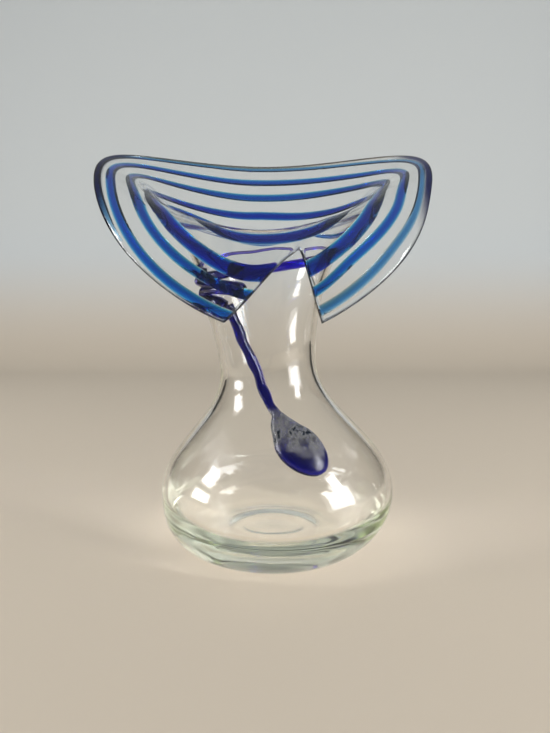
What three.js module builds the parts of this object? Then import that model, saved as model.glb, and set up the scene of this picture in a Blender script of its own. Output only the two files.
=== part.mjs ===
// Blown glass vase with its lip cut and folded into a shirt collar, and a cobalt tie laid on the front.
// Millimetres, +Z up. The front faces -Y, and the origin is the middle of the base.
import * as THREE from 'three';
import { mergeVertices } from 'three/addons/utils/BufferGeometryUtils.js';

// Body: base, bulb and neck, with lengths up the axis from one ring to the next
const footRadius = 34; // outer edge of the flat that the vase stands on
const footWidth = 8;
const pontilRadius = 15; // ground flat where the iron was cracked off
const hollowDepth = 1.6; // ring-shaped hollow between the pontil and the foot
const heelReach = 17; // how far the heel curve runs out level from the foot
const heelDrop = 18; // how far it hangs straight down from the widest ring
const bulbRadius = 62.3;
const bulbHeight = 31; // from the base to the widest ring
const shoulderLength = 66; // from there to the narrowest ring
const shoulderRise = 26; // how far the shoulder curve leaves the widest ring upright
const neckDrop = 25; // and comes to the narrowest ring upright
const neckRadius = 25.8;
const neckLength = 31; // from there to the seam, where the neck turns into the collar
const neckRise = 12; // how far the neck curve keeps its heading at each end
const seamRadius = 30.2;
const floorThickness = 9;
const floorDome = 3; // rise of the floor in the middle
const floorReach = 38; // how far the floor's curve runs out from the middle
const wall = 3;
const leanShift = -7.6; // the neck was set off to one side by hand
const leanFrom = 50; // heights between which it leans over
const leanTo = 130;

// Collar: sections at five even steps from the front to the back, with reach and rise from the seam
const standHeading = 81; // degrees above level at which the lip leaves the neck
const standReach = { front: 22, frontSide: 24, side: 30, backSide: 36, back: 36 };
const crownReach = { front: 7.3, frontSide: 16.3, side: 36.3, backSide: 37.3, back: 13.8 };
const crownRise = { front: 32.5, frontSide: 42, side: 62, backSide: 73, back: 65.5 };
const crownHeading = { front: 0, frontSide: 8, side: 22, backSide: 48, back: 64 };
const foldReach = { front: 7.5, frontSide: 9, side: 14, backSide: 12, back: 9 };
const rimReach = { front: 17.3, frontSide: 39.3, side: 58.3, backSide: 55.3, back: 28.3 };
const rimRise = { front: -10.5, frontSide: 17.5, side: 64.5, backSide: 89.5, back: 86.5 };
const leafBow = 0.3; // share of the way from the fold to the rim over which a leaf straightens
const earGather = 12; // degrees by which the rim is drawn towards the ears
const rightTip = 21.5; // azimuths of the leaf points and of the notch's top, in degrees from the front
const leftTip = -14.5;
const notchApex = 18;
const notchSpread = 0.65; // power below 1 that rounds the top of the notch
const bridgeRows = 3; // rows of the leaf that stay whole between the crown and the notch

// Cobalt glass
const seam = 0.3; // clearance between the cobalt and the clear glass that it is fused to
const threadTurns = 4; // turns that meet the notch, from the rim inwards; the last goes on for a fifth
const threadStart = { front: 4.2, side: 3.4, back: 2.4 }; // distance of the first turn from the rim
const threadPitch = 11.6;
const threadStepFromAngle = 190; // azimuths between which each turn steps over by one pitch
const threadStepToAngle = 290;
const threadWidth = 3.6;
const threadThickness = 1.3;
const threadEndAngle = 246; // angle round from the notch where the first turn runs out at the rim
const rimMargin = 2; // least distance of the thread from the rim
const leadAngle = 360; // angle by which the last turn starts before the notch, to pass over its top
const crossing = 0.5; // distance past the crown at which it does so
const crossingBlend = 1.5; // how gently it comes down to its own line from there
const bandWidth = 4.4;
const bandThickness = 2.2;
const bandClear = 4.3; // clearance between the band and the start of the thread above it
const bandPitch = 8; // how much higher the band runs at the back than midway, and lower at the front
const bandTilt = 4; // how much higher it runs on the right than midway, and lower on the left
const knotAzimuth = -40;
const knotWidth = 18;
const knotThickness = 5.4;
const knotShoulder = 5.5; // distance of the knot's widest part from its top
const knotCutShare = 0.93; // share of its round at which each end of the knot is cut off
const tieTop = { azimuth: -31.5, below: 0 }; // distances down the outside of the glass from the seam
const tieTurn = { azimuth: -10, below: 40 };
const tieTip = { azimuth: 24, below: 84.5 };
const strandWidth = 4.8;
const strandThickness = 3.4;
const bladeLength = 39;
const bladeWidth = 22;
const bladeRound = 15; // length of the blade's round end
const bladeBluntShare = 0.1; // share of its width that is left at the tip
const bladeThickness = 6.5;

// Facets
const bodySides = 44;
const underRows = 4;
const heelRows = 7;
const shoulderRows = 11;
const neckRows = 4;
const innerShoulderRows = 9;
const floorRows = 7;
const collarSides = 72;
const riserRows = 8;
const leafRows = 9;
const rowCrowding = 1.5; // power by which the rows crowd towards the fold
const rimSteps = 3;
const bandSteps = 60;
const knotSteps = 12;
const tieSteps = 30;

const degrees = THREE.MathUtils.degToRad;
const fullTurn = 2 * Math.PI;
const halfWall = wall / 2;
const neckHeight = bulbHeight + shoulderLength;
const seamHeight = neckHeight + neckLength;
const tiny = 0.001; // step of a slope, in millimetres or radians

function lean(height) {
  return leanShift * THREE.MathUtils.smoothstep(height, leanFrom, leanTo);
}

// A point at an azimuth, measured from the front towards +X, round the leaning axis
function onAxis(azimuth, radius, height) {
  return new THREE.Vector3(radius * Math.sin(azimuth) + lean(height), -radius * Math.cos(azimuth), height);
}

// Body profile, radius in x and height in y
const flat = (x, y) => new THREE.Vector2(x, y);
const seamSlope = flat(Math.cos(degrees(standHeading)), Math.sin(degrees(standHeading)));
const heel = new THREE.CubicBezierCurve(
  flat(footRadius, 0), flat(footRadius + heelReach, 0),
  flat(bulbRadius, bulbHeight - heelDrop), flat(bulbRadius, bulbHeight));
const shoulder = new THREE.CubicBezierCurve(
  flat(bulbRadius, bulbHeight), flat(bulbRadius, bulbHeight + shoulderRise),
  flat(neckRadius, neckHeight - neckDrop), flat(neckRadius, neckHeight));
const neckEnd = flat(seamRadius, seamHeight);
const neck = new THREE.CubicBezierCurve(
  flat(neckRadius, neckHeight), flat(neckRadius, neckHeight + neckRise),
  neckEnd.clone().addScaledVector(seamSlope, -neckRise), neckEnd);
const floorCurve = new THREE.CubicBezierCurve(
  flat(0, floorThickness + floorDome), flat(floorReach, floorThickness),
  flat(bulbRadius - wall, bulbHeight - heelDrop + wall), flat(bulbRadius - wall, bulbHeight));

function inwardOffset(curve, count) {
  const points = [];
  for (let step = 0; step <= count; step++) {
    const tangent = curve.getTangent(step / count);
    points.push(curve.getPoint(step / count).add(flat(-tangent.y, tangent.x).multiplyScalar(wall)));
  }
  return points;
}

function makeBody() {
  const footInner = footRadius - footWidth;
  const hollowMiddle = (pontilRadius + footInner) / 2;
  const under = new THREE.QuadraticBezierCurve(
    flat(pontilRadius, 0), flat(hollowMiddle, 2 * hollowDepth), flat(footInner, 0));
  const inside = [
    ...inwardOffset(shoulder, innerShoulderRows).slice(1),
    ...inwardOffset(neck, neckRows).slice(1, -1),
  ];
  const profile = [
    flat(0, 0),
    ...under.getPoints(underRows),
    ...heel.getPoints(heelRows),
    ...shoulder.getPoints(shoulderRows).slice(1),
    ...neck.getPoints(neckRows).slice(1),
    flat(seamRadius - wall, seamHeight),
    ...inside.reverse(),
    ...floorCurve.getPoints(floorRows).reverse(),
  ];
  const geometry = new THREE.LatheGeometry(profile, bodySides).rotateX(Math.PI / 2);
  const place = geometry.attributes.position;
  for (let index = 0; index < place.count; index++) {
    place.setX(index, place.getX(index) + lean(place.getZ(index)));
  }
  return geometry;
}

// A size given at even steps from front to back, carried smoothly round the collar as a sum of cosines
function around(size, azimuth) {
  const values = Object.values(size);
  const last = values.length - 1;
  const share = (index) => (index % last === 0 ? 0.5 : 1);
  let total = 0;
  for (let order = 0; order <= last; order++) {
    const sum = values.reduce(
      (held, value, index) => held + share(index) * value * Math.cos((order * index * Math.PI) / last), 0);
    total += (2 / last) * share(order) * sum * Math.cos(order * azimuth);
  }
  return total;
}

// The section of the sheet's middle at an azimuth: a riser from the seam to the crown, then a leaf to the rim
const sections = new Map();

function lip(azimuth) {
  if (!sections.has(azimuth)) {
    const start = flat(seamRadius - halfWall, seamHeight);
    const crown = flat(around(crownReach, azimuth), around(crownRise, azimuth)).add(start);
    const rim = flat(around(rimReach, azimuth), around(rimRise, azimuth)).add(start);
    const heading = degrees(around(crownHeading, azimuth));
    const over = flat(Math.cos(heading), Math.sin(heading)).multiplyScalar(around(foldReach, azimuth));
    const stand = start.clone().addScaledVector(seamSlope, around(standReach, azimuth));
    const riser = new THREE.CubicBezierCurve(start, stand, crown.clone().sub(over), crown);
    const bent = crown.clone().add(over);
    const leaf = new THREE.CubicBezierCurve(crown, bent, bent.clone().lerp(rim, leafBow), rim);
    const total = riser.getLength() + leaf.getLength();
    sections.set(azimuth, { riser, leaf, total });
  }
  return sections.get(azimuth);
}

// The middle of the collar's sheet, at an arc length from the seam
function collarMiddle(azimuth, along) {
  const { riser, leaf, total } = lip(azimuth);
  const rise = riser.getLength();
  const point = along < rise ? riser.getPointAt(Math.max(along / rise, 0))
    : leaf.getPointAt(Math.min((along - rise) / leaf.getLength(), 1));
  const gathered = azimuth + degrees(earGather) * Math.sin(2 * azimuth) * (along / total);
  return onAxis(gathered, point.x, point.y);
}

// Unit vectors there: along the lip towards the rim, and out of the glass on the bubble's outside
function collarFrame(azimuth, along) {
  const round = collarMiddle(azimuth + tiny, along).sub(collarMiddle(azimuth - tiny, along));
  const up = collarMiddle(azimuth, along + tiny).sub(collarMiddle(azimuth, along - tiny)).normalize();
  return { up, out: round.cross(up).normalize() };
}

// A point off that middle, level with it at the seam so that the collar sits flat on the neck
function collarPoint(azimuth, along, offset) {
  const level = new THREE.Vector3(Math.sin(azimuth), -Math.cos(azimuth), 0);
  const out = along > 0 ? collarFrame(azimuth, along).out : level;
  return collarMiddle(azimuth, along).addScaledVector(out, offset);
}

// Shares of the riser and of the leaf that lie below a row of the sheet
function rowShares(row) {
  const below = THREE.MathUtils.clamp(row / riserRows, 0, 1);
  const past = THREE.MathUtils.clamp((row - riserRows) / leafRows, 0, 1);
  return { ofRiser: 1 - (1 - below) ** rowCrowding, ofLeaf: past ** rowCrowding };
}

function rowAlong(row, azimuth) {
  const { riser, leaf } = lip(azimuth);
  const { ofRiser, ofLeaf } = rowShares(row);
  return riser.getLength() * ofRiser + leaf.getLength() * ofLeaf;
}

// The azimuth at a share of the way round from the notch's right edge to its left, on the line of the sheet
// that lies at a share of the way from the crown of the fold to the rim
function roundFromNotch(share, open) {
  const bridge = rowShares(riserRows + bridgeRows).ofLeaf;
  const parted = THREE.MathUtils.clamp((open - bridge) / (1 - bridge), 0, 1) ** notchSpread;
  const right = THREE.MathUtils.lerp(notchApex, rightTip, parted);
  const left = THREE.MathUtils.lerp(notchApex, leftTip, parted);
  return THREE.MathUtils.lerp(degrees(right), degrees(left) + fullTurn, share);
}

// A point lifted off the outside of the glass, at a distance along it above the seam, or below if negative
function outsidePoint(azimuth, along, lift) {
  if (along >= 0) {
    return collarPoint(azimuth, along, halfWall + lift);
  }
  const onNeck = -along < neck.getLength();
  const curve = onNeck ? neck : shoulder;
  const down = onNeck ? -along : -along - neck.getLength();
  const share = 1 - down / curve.getLength();
  const tangent = curve.getTangentAt(share);
  const place = curve.getPointAt(share).add(flat(tangent.y, -tangent.x).multiplyScalar(lift));
  return onAxis(azimuth, place.x, place.y);
}

// A solid from closed loops of points, joined one to the next and capped at both ends
function loft(loops) {
  const size = loops[0].length;
  const faces = [];
  for (let loop = 0; loop < loops.length - 1; loop++) {
    const here = loop * size;
    const there = here + size;
    for (let side = 0; side < size; side++) {
      const next = (side + 1) % size;
      faces.push(here + side, there + next, here + next, here + side, there + side, there + next);
    }
  }
  const end = (loops.length - 1) * size;
  for (let side = 1; side < size - 1; side++) {
    faces.push(0, side, side + 1, end, end + side + 1, end + side);
  }
  return solid(loops.flat(), faces);
}

function solid(points, faces) {
  const geometry = new THREE.BufferGeometry();
  geometry.setAttribute('position', new THREE.Float32BufferAttribute(points.flatMap((p) => p.toArray()), 3));
  geometry.setIndex(faces);
  return mergeVertices(geometry, 1e-3);
}

// The collar: one sheet with a round rim, closed up to a line past the crown and open at the notch from there
function makeCollar() {
  const lastRow = riserRows + leafRows;
  const columns = [];
  for (let column = 0; column <= collarSides; column++) {
    const at = [];
    for (let row = 0; row <= lastRow; row++) {
      at.push(roundFromNotch(column / collarSides, rowShares(row).ofLeaf));
    }
    const outside = at.map((azimuth, row) => collarPoint(azimuth, rowAlong(row, azimuth), halfWall));
    const inside = at.map((azimuth, row) => collarPoint(azimuth, rowAlong(row, azimuth), -halfWall));
    const rimAzimuth = at[lastRow];
    const rimAlong = rowAlong(lastRow, rimAzimuth);
    const { up, out } = collarFrame(rimAzimuth, rimAlong);
    const rim = [];
    for (let step = 1; step <= rimSteps; step++) {
      const turn = (Math.PI * step) / (rimSteps + 1);
      rim.push(collarMiddle(rimAzimuth, rimAlong)
        .addScaledVector(out, halfWall * Math.cos(turn)).addScaledVector(up, halfWall * Math.sin(turn)));
    }
    columns.push([...outside, ...rim, ...inside.reverse()]);
  }
  const size = columns[0].length;
  const faces = [];
  for (let column = 0; column < collarSides; column++) {
    for (let point = 0; point < size; point++) {
      const a = column * size + point;
      const b = column * size + ((point + 1) % size);
      faces.push(a, a + size, b + size, a, b + size, b);
    }
  }
  const lastColumn = collarSides * size;
  for (let row = riserRows + bridgeRows; row < lastRow; row++) {
    const far = size - 1 - row;
    faces.push(row, row + 1, far - 1, row, far - 1, far);
    faces.push(lastColumn + row, lastColumn + far - 1, lastColumn + row + 1);
    faces.push(lastColumn + row, lastColumn + far, lastColumn + far - 1);
  }
  for (let step = 1; step <= rimSteps; step++) {
    const point = lastRow + step;
    faces.push(lastRow, point, point + 1);
    faces.push(lastColumn + lastRow, lastColumn + point + 1, lastColumn + point);
  }
  return solid(columns.flat(), faces);
}

// Cross sections of the cobalt: across its width, and up from the clear glass
const trailSection = [[-0.5, 0], [-0.3, 0.85], [0, 1], [0.3, 0.85], [0.5, 0]];
const bladeSection = [
  [-0.5, 0.05], [-0.4, 0.6], [-0.2, 0.92], [0, 1], [0.2, 0.92], [0.4, 0.6], [0.5, 0.05],
  [0.25, 0], [0, 0], [-0.25, 0]];

// A trail of cobalt laid on the outside of the glass, along a path of azimuths and distances from the seam
function makeTrail(path, section, width, thickness, trim = (spot) => spot) {
  const last = path.length - 1;
  const at = (spot, azimuth, along) => outsidePoint(spot.azimuth + azimuth, spot.along + along, 0);
  const loops = path.map((spot, index) => {
    const before = path[Math.max(index - 1, 0)];
    const after = path[Math.min(index + 1, last)];
    const run = at(after, 0, 0).sub(at(before, 0, 0)).normalize();
    const round = at(spot, tiny, 0).sub(at(spot, -tiny, 0)).divideScalar(2 * tiny);
    const up = at(spot, 0, tiny).sub(at(spot, 0, -tiny)).divideScalar(2 * tiny);
    const side = round.clone().cross(up).normalize().cross(run);
    const skew = round.dot(up);
    const area = round.lengthSq() * up.lengthSq() - skew * skew;
    const turn = (side.dot(round) * up.lengthSq() - side.dot(up) * skew) / area;
    const rise = (side.dot(up) * round.lengthSq() - side.dot(round) * skew) / area;
    return section.map(([across, lift]) => {
      const shift = across * width(index / last);
      const place = trim({ azimuth: spot.azimuth + shift * turn, along: spot.along + shift * rise }, index);
      return outsidePoint(place.azimuth, place.along, seam + lift * thickness(index / last));
    });
  });
  return loft(loops);
}

// Distance of a turn of the wound thread from the rim, which the first turn reaches on its way round
function threadFromRim(turn, azimuth) {
  const { radToDeg, smoothstep } = THREE.MathUtils;
  const whole = Math.floor(azimuth / fullTurn);
  const angle = radToDeg(azimuth - whole * fullTurn);
  const stepped = whole + smoothstep(angle, threadStepFromAngle, threadStepToAngle);
  const wound = Math.max(around(threadStart, azimuth) + threadPitch * (turn - stepped), rimMargin);
  if (turn < threadTurns - 1 || azimuth > Math.PI) {
    return wound;
  }
  const crossed = lip(azimuth).leaf.getLength() - crossing;
  return (wound + crossed) / 2 + Math.hypot((wound - crossed) / 2, crossingBlend);
}

// A spot on a turn, at a share of the way round from the notch and a shift towards the rim
function threadSpot(turn, share, shift) {
  const passes = 6;
  let azimuth = roundFromNotch(share, 1);
  let fromRim = 0;
  for (let pass = 0; pass < passes; pass++) {
    fromRim = threadFromRim(turn, azimuth) - shift;
    azimuth = roundFromNotch(share, 1 - fromRim / lip(azimuth).leaf.getLength());
  }
  return { azimuth, along: lip(azimuth).total - fromRim };
}

// One turn of the thread, from one edge of the notch round the back to the other, on the collar's columns.
// The last starts a turn earlier, on the neck, and passes over the top of the notch.
function makeThread(turn) {
  const first = turn === threadTurns - 1 ? -Math.round((collarSides * leadAngle) / 360) : 0;
  const last = turn === 0 ? Math.round((collarSides * threadEndAngle) / 360) : collarSides;
  const loops = Array.from({ length: last - first + 1 }, (_, step) => trailSection.map(([across, lift]) => {
    const spot = threadSpot(turn, (first + step) / collarSides, across * threadWidth);
    return outsidePoint(spot.azimuth, spot.along, seam + lift * threadThickness);
  }));
  return loft(loops);
}

// The least gap between neighbouring turns, measured at each degree round from the notch
function leastThreadGap() {
  const edge = (turn, share, side) => {
    const spot = threadSpot(turn, share, (side * threadWidth) / 2);
    return outsidePoint(spot.azimuth, spot.along, seam);
  };
  let least = Infinity;
  for (let turn = 1; turn < threadTurns; turn++) {
    const end = turn === 1 ? threadEndAngle : 360;
    for (let angle = 0; angle <= end; angle++) {
      least = Math.min(least, edge(turn, angle / 360, 1).distanceTo(edge(turn - 1, angle / 360, -1)));
    }
  }
  return least;
}

// Distance of the band from the seam
function bandAlong(azimuth) {
  const swing = (angle) => bandTilt * Math.sin(angle) - bandPitch * Math.cos(angle);
  const near = degrees(notchApex - leadAngle);
  const lastTurn = lip(near).total - threadFromRim(threadTurns - 1, near);
  return lastTurn - (threadWidth + bandWidth) / 2 - bandClear + swing(azimuth) - swing(near);
}

// The band goes once round the neck and ends at the two sides of the knot
function makeBand() {
  const half = (knotWidth / 2 + seam) / seamRadius;
  const path = Array.from({ length: bandSteps + 1 }, (_, step) => {
    const azimuth = degrees(knotAzimuth) + THREE.MathUtils.lerp(half, fullTurn - half, step / bandSteps);
    return { azimuth, along: bandAlong(azimuth) };
  });
  return makeTrail(path, trailSection, () => bandWidth, () => bandThickness);
}

// The knot hangs from the level of the band down to the top of the strand, narrowing on the way
function makeKnot() {
  const top = bandAlong(degrees(knotAzimuth)) + bandWidth / 2;
  const bottom = seam / 2 - tieTop.below;
  const path = Array.from({ length: knotSteps + 1 }, (_, step) => ({
    azimuth: degrees(THREE.MathUtils.lerp(knotAzimuth, tieTop.azimuth, step / knotSteps)),
    along: THREE.MathUtils.lerp(top, bottom, step / knotSteps),
  }));
  const swell = (share) => {
    const fromWidest = share * (top - bottom) - knotShoulder;
    const reach = fromWidest < 0 ? knotShoulder : top - bottom - knotShoulder;
    return Math.sqrt(1 - (knotCutShare * fromWidest / reach) ** 2);
  };
  const width = (share) => knotWidth * swell(share);
  const thickness = (share) => knotThickness * swell(share);
  const trim = (spot, index) => (index === knotSteps ? { ...spot, along: bottom } : spot);
  return makeTrail(path, bladeSection, width, thickness, trim);
}

// The strand runs down the neck and swells into a flat drop on the shoulder
function makeTie() {
  const top = -seam / 2 - tieTop.below;
  const route = new THREE.QuadraticBezierCurve(
    flat(tieTop.azimuth, top), flat(tieTurn.azimuth, -tieTurn.below), flat(tieTip.azimuth, -tieTip.below));
  const path = route.getPoints(tieSteps).map((spot) => ({ azimuth: degrees(spot.x), along: spot.y }));
  const places = path.map((spot) => outsidePoint(spot.azimuth, spot.along, 0));
  const length = places.slice(1).reduce((sum, place, index) => sum + place.distanceTo(places[index]), 0);
  const swell = (share) => {
    const fromTip = (1 - share) * length;
    const taper = THREE.MathUtils.smoothstep(fromTip, bladeRound, bladeLength);
    const past = Math.max(bladeRound - fromTip, 0) / bladeRound;
    return (1 - taper) * Math.sqrt(Math.max(1 - past ** 2, bladeBluntShare ** 2));
  };
  const width = (share) => Math.max(strandWidth, bladeWidth * swell(share));
  const thickness = (share) => Math.max(strandThickness, bladeThickness * swell(share));
  const trim = (spot, index) => (index === 0 ? { ...spot, along: top } : spot);
  return makeTrail(path, bladeSection, width, thickness, trim);
}

function clearGlass() {
  return new THREE.MeshStandardMaterial({
    color: 0xdfe8e2, roughness: 0.03, metalness: 0, transparent: true, opacity: 0.35 });
}

function cobaltGlass() {
  return new THREE.MeshStandardMaterial({ color: 0x1c2aa8, roughness: 0.06, metalness: 0 });
}

const vase = new THREE.Group();

function addPiece(name, geometry, material) {
  const mesh = new THREE.Mesh(geometry, material);
  mesh.name = name;
  vase.add(mesh);
}

addPiece('body', makeBody(), clearGlass());
addPiece('collar', makeCollar(), clearGlass());
for (let turn = 0; turn < threadTurns; turn++) {
  const name = turn < threadTurns - 1 ? `thread_turn_${turn + 1}` : 'thread_turns_4_5';
  addPiece(name, makeThread(turn), cobaltGlass());
}
addPiece('neck_band', makeBand(), cobaltGlass());
addPiece('tie_knot', makeKnot(), cobaltGlass());
addPiece('tie_blade', makeTie(), cobaltGlass());

console.log(`least gap between turns of the thread: ${leastThreadGap().toFixed(1)} mm`);

export default vase;
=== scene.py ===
import math

import bpy
import numpy as np
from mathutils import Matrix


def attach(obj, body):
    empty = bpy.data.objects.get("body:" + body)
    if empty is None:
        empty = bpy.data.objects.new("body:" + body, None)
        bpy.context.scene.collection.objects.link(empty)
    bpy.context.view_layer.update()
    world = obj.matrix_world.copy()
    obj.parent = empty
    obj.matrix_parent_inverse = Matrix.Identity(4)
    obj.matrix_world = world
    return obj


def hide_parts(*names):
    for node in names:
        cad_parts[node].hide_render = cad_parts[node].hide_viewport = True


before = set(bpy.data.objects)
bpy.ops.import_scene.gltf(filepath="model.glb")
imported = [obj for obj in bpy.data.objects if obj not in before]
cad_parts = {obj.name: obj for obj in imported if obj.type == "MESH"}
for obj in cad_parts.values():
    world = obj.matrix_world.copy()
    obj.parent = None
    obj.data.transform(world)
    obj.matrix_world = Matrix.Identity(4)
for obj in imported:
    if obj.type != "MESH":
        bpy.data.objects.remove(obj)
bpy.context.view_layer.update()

millimetre = 0.001
fullTurn = 2 * math.pi
print("frame loaded", len(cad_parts), "nodes")

# The blown bubble, in millimetres and degrees. Collar sizes stand at five even steps from front to back.
bubble = {
    "footRadius": 34, "footWidth": 8, "pontilRadius": 15, "hollowDepth": 0.9,
    "heelReach": 17, "heelDrop": 18, "bulbRadius": 62.2, "bulbHeight": 31,
    "shoulderLength": 66, "shoulderRise": 26, "neckDrop": 25, "neckRadius": 25.8,
    "neckLength": 31, "neckRise": 12, "seamRadius": 30.2, "wall": 3,
    "floorThickness": 6.5, "floorDome": 3, "floorReach": 40,
    "leanShift": -7.6, "leanFrom": 50, "leanTo": 130, "footShift": -2.4,
    "standHeading": 81, "standReach": (22, 24, 30, 36, 36),
    "crownReach": (7.3, 16.3, 36.3, 37.3, 13.8), "crownRise": (34.2, 42, 62, 73, 65.5),
    "crownHeading": (0, 8, 22, 48, 64), "foldReach": (7.5, 9, 14, 12, 9),
    "rimReach": (17.3, 39.3, 59.5, 55.3, 28.3), "rimRise": (-10.5, 17.5, 64.5, 89.5, 86.5),
    "leafBow": 0.3, "earGather": 12, "rightLeaf": 4, "leftLeaf": -1.5,
    # Each span is the azimuths where a drop or lift of the rim starts, is largest and ends
    "rightDrop": 4.2, "rightDropSpan": (0, 20, 65), "leftLift": 0.8, "leftLiftSpan": (-150, -110, -60),
    "rightTip": 21.5, "leftTip": -14.5, "notchApex": 18, "notchFrom": 0.28, "notchSpread": 0.65,
    "columns": 220, "pontilRows": 3, "hollowRows": 8, "heelRows": 24, "shoulderRows": 38, "neckRows": 16,
    "floorRows": 22, "riserRows": 36, "riserCrowd": 1.3, "leafRows": 30, "edgeRows": 4, "edgeShare": 0.005,
}
neckHeight = bubble["bulbHeight"] + bubble["shoulderLength"]
seamHeight = neckHeight + bubble["neckLength"]
halfWall = bubble["wall"] / 2
standAngle = math.radians(bubble["standHeading"])
standSlope = (math.cos(standAngle), math.sin(standAngle))
arcSteps = 32
settlePasses = 6
# Small steps that slopes are measured over
smallTurn = 0.001  # radians
smallShare = 0.001
smallStep = 0.01  # millimetres
weldGap = 0.000003  # metres
smoothAngle = 50  # degrees


def smoothStep(value, low, high):
    share = np.clip((value - low) / (high - low), 0, 1)
    return share * share * (3 - 2 * share)


# Rises from 0 to 1 and falls to 0 again
def swell(value, start, largest, end):
    return smoothStep(value, start, largest) * (1 - smoothStep(value, largest, end))


def mix(low, high, share):
    return low + (high - low) * share


def unit(vectors):
    return vectors / np.linalg.norm(vectors, axis=-1, keepdims=True)


# A point on a curve of four (radius, height) points
def bezier(points, share):
    rest = 1 - share
    weights = (rest ** 3, 3 * share * rest ** 2, 3 * share ** 2 * rest, share ** 3)
    return [sum(weight * point[axis] for weight, point in zip(weights, points)) for axis in (0, 1)]


def curveLengths(points):
    across, up = bezier(points, np.linspace(0, 1, arcSteps + 1)[:, None])
    steps = np.hypot(np.diff(across, axis=0), np.diff(up, axis=0))
    return np.vstack([np.zeros_like(steps[:1]), np.cumsum(steps, axis=0)])


def shareAt(lengths, along):
    index = np.clip((lengths <= along).sum(axis=0) - 1, 0, arcSteps - 1)
    column = np.arange(along.size) if lengths.shape[1] > 1 else 0
    low = lengths[index, column]
    high = lengths[index + 1, column]
    return (index + (along - low) / (high - low)) / arcSteps


heel = [(bubble["footRadius"], 0), (bubble["footRadius"] + bubble["heelReach"], 0),
        (bubble["bulbRadius"], bubble["bulbHeight"] - bubble["heelDrop"]),
        (bubble["bulbRadius"], bubble["bulbHeight"])]
shoulder = [(bubble["bulbRadius"], bubble["bulbHeight"]),
            (bubble["bulbRadius"], bubble["bulbHeight"] + bubble["shoulderRise"]),
            (bubble["neckRadius"], neckHeight - bubble["neckDrop"]), (bubble["neckRadius"], neckHeight)]
neck = [(bubble["neckRadius"], neckHeight), (bubble["neckRadius"], neckHeight + bubble["neckRise"]),
        (bubble["seamRadius"] - standSlope[0] * bubble["neckRise"],
         seamHeight - standSlope[1] * bubble["neckRise"]),
        (bubble["seamRadius"], seamHeight)]
innerRadius = bubble["bulbRadius"] - bubble["wall"]
floorCurve = [(0, bubble["floorThickness"] + bubble["floorDome"]),
              (bubble["floorReach"], bubble["floorThickness"]),
              (innerRadius, bubble["bulbHeight"] - bubble["heelDrop"] + bubble["wall"]),
              (innerRadius, bubble["bulbHeight"])]


# The neck leans to one side of the bulb, and the foot stands a little off its middle
def onAxis(azimuth, radius, height):
    lean = bubble["leanShift"] * smoothStep(height, bubble["leanFrom"], bubble["leanTo"])
    lean = lean + bubble["footShift"] * (1 - smoothStep(height, 0, bubble["bulbHeight"]))
    place = np.broadcast_arrays(radius * np.sin(azimuth) + lean, -radius * np.cos(azimuth), height)
    return np.stack(place, axis=-1)


# A size given at even steps from front to back, carried smoothly round as a sum of cosines
def around(sizes, azimuth):
    last = len(sizes) - 1
    halves = [0.5 if index in (0, last) else 1 for index in range(last + 1)]
    total = 0
    for order in range(last + 1):
        wave = sum(halves[index] * sizes[index] * math.cos(order * index * math.pi / last)
                   for index in range(last + 1))
        total = total + 2 / last * halves[order] * wave * np.cos(order * azimuth)
    return total


# The section of the lip at each azimuth: a riser from the neck to the crown of the fold, a leaf to the rim
def lipCurves(azimuth):
    start = (bubble["seamRadius"] - halfWall, seamHeight)
    crown = (start[0] + around(bubble["crownReach"], azimuth),
             start[1] + around(bubble["crownRise"], azimuth))
    broad = np.where(np.sin(azimuth) > 0, bubble["rightLeaf"], bubble["leftLeaf"])
    broad = np.where(np.cos(azimuth) > 0, broad * np.sin(2 * azimuth) ** 2, 0)
    angle = np.degrees(np.arctan2(np.sin(azimuth), np.cos(azimuth)))
    drop = bubble["rightDrop"] * swell(angle, *bubble["rightDropSpan"])
    lift = bubble["leftLift"] * swell(angle, *bubble["leftLiftSpan"])
    rim = (start[0] + around(bubble["rimReach"], azimuth) + broad,
           start[1] + around(bubble["rimRise"], azimuth) - drop + lift)
    heading = np.radians(around(bubble["crownHeading"], azimuth))
    reach = around(bubble["foldReach"], azimuth)
    over = (np.cos(heading) * reach, np.sin(heading) * reach)
    stand = around(bubble["standReach"], azimuth)
    bent = (crown[0] + over[0], crown[1] + over[1])
    bow = bubble["leafBow"]
    riser = [start, (start[0] + standSlope[0] * stand, start[1] + standSlope[1] * stand),
             (crown[0] - over[0], crown[1] - over[1]), crown]
    leaf = [crown, bent, (mix(bent[0], rim[0], bow), mix(bent[1], rim[1], bow)), rim]
    return riser, leaf


def lipLengths(azimuth):
    riser, leaf = lipCurves(azimuth)
    return curveLengths(riser)[-1], curveLengths(leaf)[-1]


# The middle of the lip's sheet at an arc length from the neck
def lipMiddle(azimuth, along):
    riser, leaf = lipCurves(azimuth)
    riserLengths = curveLengths(riser)
    leafLengths = curveLengths(leaf)
    rise = riserLengths[-1]
    below = bezier(riser, shareAt(riserLengths, np.minimum(along, rise)))
    above = bezier(leaf, shareAt(leafLengths, np.maximum(along - rise, 0)))
    radius = np.where(along < rise, below[0], above[0])
    height = np.where(along < rise, below[1], above[1])
    gather = math.radians(bubble["earGather"]) * np.sin(2 * azimuth) * along / (rise + leafLengths[-1])
    return onAxis(azimuth + gather, radius, height)


# The direction out of the bubble's outside, which is the underside of the folded leaves
def lipOut(azimuth, along):
    turn = lipMiddle(azimuth + smallTurn, along) - lipMiddle(azimuth - smallTurn, along)
    up = lipMiddle(azimuth, along + 2 * smallStep) - lipMiddle(azimuth, along - 2 * smallStep)
    return unit(np.cross(turn, up))


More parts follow.
